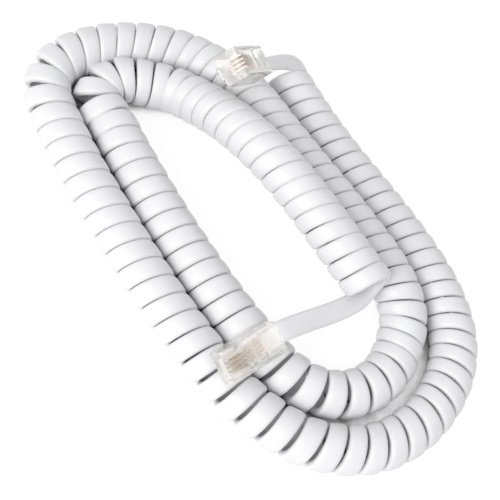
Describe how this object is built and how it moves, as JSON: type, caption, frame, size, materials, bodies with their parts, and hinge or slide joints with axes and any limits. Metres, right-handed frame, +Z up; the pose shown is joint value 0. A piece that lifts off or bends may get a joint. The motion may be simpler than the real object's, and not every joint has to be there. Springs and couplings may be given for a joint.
{
  "type": "coiled telephone handset cord",
  "caption": "White coiled telephone handset cord lying in a flat spiral, with a clear modular plug and its spring latch on each end, to join a handset to its telephone.",
  "frame": {"origin": "on the surface that the cord lies on, under the middle of the spiral's box", "axes": "+Z up from that surface, +X along the spiral's long side, towards the wide bottom turns"},
  "size_m": [0.1368, 0.0813, 0.0304],
  "materials": {
    "jacket_pvc": "satin extruded PVC",
    "clear_polycarbonate": "clear moulded polycarbonate",
    "gold_plated_contact": "gold-plated phosphor bronze",
    "conductor_insulation": "insulation over copper tinsel"
  },
  "bodies": {
    "cord": {"curly_cord": "jacket_pvc", "plug_a_lead": "jacket_pvc", "plug_a_housing": "clear_polycarbonate", "plug_a_contact_1": "gold_plated_contact", "plug_a_conductor_1": "conductor_insulation", "plug_a_contact_2": "gold_plated_contact", "plug_a_conductor_2": "conductor_insulation", "plug_a_contact_3": "gold_plated_contact", "plug_a_conductor_3": "conductor_insulation", "plug_a_contact_4": "gold_plated_contact", "plug_a_conductor_4": "conductor_insulation", "plug_b_lead": "jacket_pvc", "plug_b_housing": "clear_polycarbonate", "plug_b_contact_1": "gold_plated_contact", "plug_b_conductor_1": "conductor_insulation", "plug_b_contact_2": "gold_plated_contact", "plug_b_conductor_2": "conductor_insulation", "plug_b_contact_3": "gold_plated_contact", "plug_b_conductor_3": "conductor_insulation", "plug_b_contact_4": "gold_plated_contact", "plug_b_conductor_4": "conductor_insulation"},
    "plug_a_latch": {"plug_a_latch": "clear_polycarbonate"},
    "plug_b_latch": {"plug_b_latch": "clear_polycarbonate"}
  },
  "joints": [
    {"name": "plug_a_latch_press", "type": "hinge", "parent": "cord", "child": "plug_a_latch", "pos_m": [-0.0297, 0.00993, 0.02394], "axis": [0.9573, -0.1832, -0.2238], "range_deg": [0, 8], "stiffness_Nm_per_rad": 0.02},
    {"name": "plug_b_latch_press", "type": "hinge", "parent": "cord", "child": "plug_b_latch", "pos_m": [0.02242, -0.0363, 0.01357], "axis": [0.9309, -0.1281, -0.342], "range_deg": [0, 8], "stiffness_Nm_per_rad": 0.02}
  ]
}
